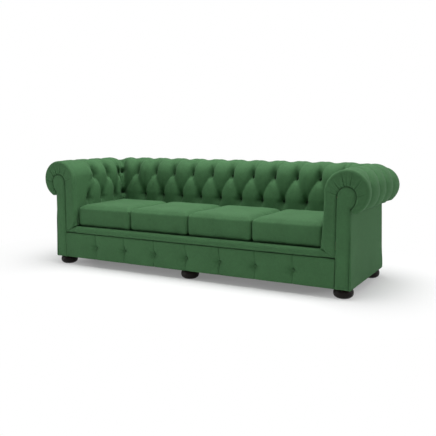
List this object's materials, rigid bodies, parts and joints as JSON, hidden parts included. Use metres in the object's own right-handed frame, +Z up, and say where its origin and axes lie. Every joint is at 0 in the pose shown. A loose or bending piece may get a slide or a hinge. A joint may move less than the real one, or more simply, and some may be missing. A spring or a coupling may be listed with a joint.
{
  "type": "sofa",
  "caption": "Rolled-arm family sofa with deep-buttoned inner arms and back, loose seat cushions, a buttoned front border and dark bun feet.",
  "frame": {"origin": "on the floor under the middle of the sofa", "axes": "+X along the sofa, +Y towards the back, +Z up; the front faces -Y"},
  "size_m": [2.37, 0.85, 0.7424],
  "materials": {
    "upholstery": "woven green cover with a soft sheen",
    "button_cloth": "woven green cover stretched over a button",
    "platform_cloth": "plain green lining cloth",
    "dust_cloth": "thin black cloth",
    "webbing": "black elastic strap",
    "timber": "sawn softwood",
    "plywood": "plywood",
    "stained_wood": "dark stained and polished",
    "steel": "plain zinc"
  },
  "bodies": {
    "frame": {"front_rail": "timber", "rear_rail": "timber", "left_side_rail": "timber", "right_side_rail": "timber", "left_cross_rail": "timber", "centre_cross_rail": "timber", "right_cross_rail": "timber", "corner_blocks": "timber", "webbing_ledgers": "timber", "left_scroll_board": "plywood", "right_scroll_board": "plywood", "left_rear_post": "timber", "right_rear_post": "timber", "left_arm_upright": "timber", "right_arm_upright": "timber", "left_back_upright": "timber", "centre_back_upright": "timber", "right_back_upright": "timber", "left_arm_top_rail": "timber", "right_arm_top_rail": "timber", "back_top_rail": "timber", "left_arm_board": "plywood", "right_arm_board": "plywood", "back_board": "plywood", "seat_webbing": "webbing", "webbing_clips": "steel", "seat_deck": "platform_cloth", "dust_cover": "dust_cloth", "left_arm_pad": "upholstery", "right_arm_pad": "upholstery", "back_pad": "upholstery", "left_arm_roll": "upholstery", "right_arm_roll": "upholstery", "back_roll": "upholstery", "left_arm_band": "upholstery", "right_arm_band": "upholstery", "left_facing": "upholstery", "right_facing": "upholstery", "left_outside_arm": "upholstery", "right_outside_arm": "upholstery", "outside_back": "upholstery", "front_lip": "upholstery", "front_border": "upholstery", "back_buttons": "button_cloth", "left_arm_buttons": "button_cloth", "right_arm_buttons": "button_cloth", "border_buttons": "button_cloth", "front_left_foot": "stained_wood", "front_middle_foot": "stained_wood", "front_right_foot": "stained_wood", "rear_left_foot": "stained_wood", "rear_middle_foot": "stained_wood", "rear_right_foot": "stained_wood", "foot_bolts": "steel"},
    "cushion_1": {"seat_cushion_1": "upholstery"},
    "cushion_2": {"seat_cushion_2": "upholstery"},
    "cushion_3": {"seat_cushion_3": "upholstery"},
    "cushion_4": {"seat_cushion_4": "upholstery"}
  },
  "joints": [
    {"name": "cushion_1_lift", "type": "slide", "parent": "frame", "child": "cushion_1", "axis": [0, 0, 1], "range_m": [0, 0.48]},
    {"name": "cushion_2_lift", "type": "slide", "parent": "frame", "child": "cushion_2", "axis": [0, 0, 1], "range_m": [0, 0.48]},
    {"name": "cushion_3_lift", "type": "slide", "parent": "frame", "child": "cushion_3", "axis": [0, 0, 1], "range_m": [0, 0.48]},
    {"name": "cushion_4_lift", "type": "slide", "parent": "frame", "child": "cushion_4", "axis": [0, 0, 1], "range_m": [0, 0.48]}
  ]
}
